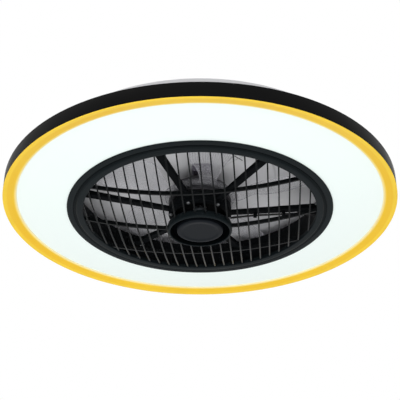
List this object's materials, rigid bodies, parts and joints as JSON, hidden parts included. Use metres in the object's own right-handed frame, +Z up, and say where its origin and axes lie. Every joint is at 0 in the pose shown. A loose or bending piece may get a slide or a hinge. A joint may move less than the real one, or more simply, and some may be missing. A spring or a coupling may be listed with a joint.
{
  "type": "flush ceiling fan with ring light",
  "caption": "Flush ceiling fan: impeller behind a barred twist-off grille, inside a ring-shaped opal light with a coloured accent ring and a black outer hoop.",
  "frame": {"origin": "Centre of the top face of the ceiling bracket, in the plane of the ceiling.", "axes": "+Z points up into the ceiling and is the axis of the fan; the fan hangs below Z = 0. The bracket's long side lies along Y. The arm that carries the motor's lead stands 7 degrees round from +X."},
  "size_m": [0.58, 0.58, 0.097],
  "materials": {
    "zinc_steel": "zinc-plated steel",
    "white_steel": "pressed steel, off-white powder coat",
    "black_paint": "black satin paint",
    "yellow_gloss": "golden yellow, glossy",
    "opal_shade": "opal white diffuser",
    "black_plastic": "moulded black plastic, satin",
    "clear_plastic": "clear moulded plastic, faintly smoky",
    "white_plastic": "white moulded plastic",
    "board_white": "white solder mask with light chips",
    "copper": "enamelled copper wire",
    "ferrite": "dark grey sintered ferrite",
    "black_rubber": "black rubber"
  },
  "bodies": {
    "housing": {"ceiling_bracket": "zinc_steel", "base_pan": "white_steel", "bracket_screw_1": "zinc_steel", "bracket_screw_2": "zinc_steel", "cable_grommet": "black_rubber", "terminal_block": "white_plastic", "motor_controller": "white_plastic", "led_driver": "white_plastic", "led_tray": "white_steel", "tray_screw_1": "zinc_steel", "tray_screw_2": "zinc_steel", "tray_screw_3": "zinc_steel", "led_board_1": "board_white", "led_board_2": "board_white", "led_board_3": "board_white", "rim_hoop": "black_paint", "accent_ring": "yellow_gloss", "shade": "opal_shade", "air_duct": "black_plastic", "duct_screw_1": "zinc_steel", "duct_screw_2": "zinc_steel", "duct_screw_3": "zinc_steel", "bezel_ring": "black_plastic", "spider": "black_plastic", "spider_screw_1": "zinc_steel", "spider_screw_2": "zinc_steel", "spider_screw_3": "zinc_steel", "spider_screw_4": "zinc_steel", "spider_screw_5": "zinc_steel", "spider_screw_6": "zinc_steel", "motor_mount": "black_plastic", "mount_screw_1": "zinc_steel", "mount_screw_2": "zinc_steel", "mount_screw_3": "zinc_steel", "mount_screw_4": "zinc_steel", "mount_screw_5": "zinc_steel", "mount_screw_6": "zinc_steel", "motor_shaft": "zinc_steel", "shaft_nut": "zinc_steel", "stator_core": "zinc_steel", "stator_windings": "copper", "lower_bearing_inner": "zinc_steel", "upper_bearing_inner": "zinc_steel", "motor_lead": "black_rubber"},
    "rotor": {"rotor_can": "zinc_steel", "rotor_cover": "zinc_steel", "magnet_ring": "ferrite", "lower_bearing_outer": "zinc_steel", "upper_bearing_outer": "zinc_steel", "blade_ring": "clear_plastic", "blade_1": "clear_plastic", "blade_2": "clear_plastic", "blade_3": "clear_plastic", "blade_4": "clear_plastic", "blade_5": "clear_plastic", "blade_clamp": "clear_plastic"},
    "grille_cover": {"grille": "black_plastic", "grille_cap": "black_plastic"}
  },
  "joints": [
    {"name": "rotor_spin", "type": "hinge", "parent": "housing", "child": "rotor", "pos_m": [0, 0, -0.035], "axis": [0, 0, 1], "continuous": true},
    {"name": "grille_twist", "type": "hinge", "parent": "housing", "child": "grille_cover", "pos_m": [0, 0, -0.067], "axis": [0, 0, 1], "range_deg": [0, 14]}
  ]
}
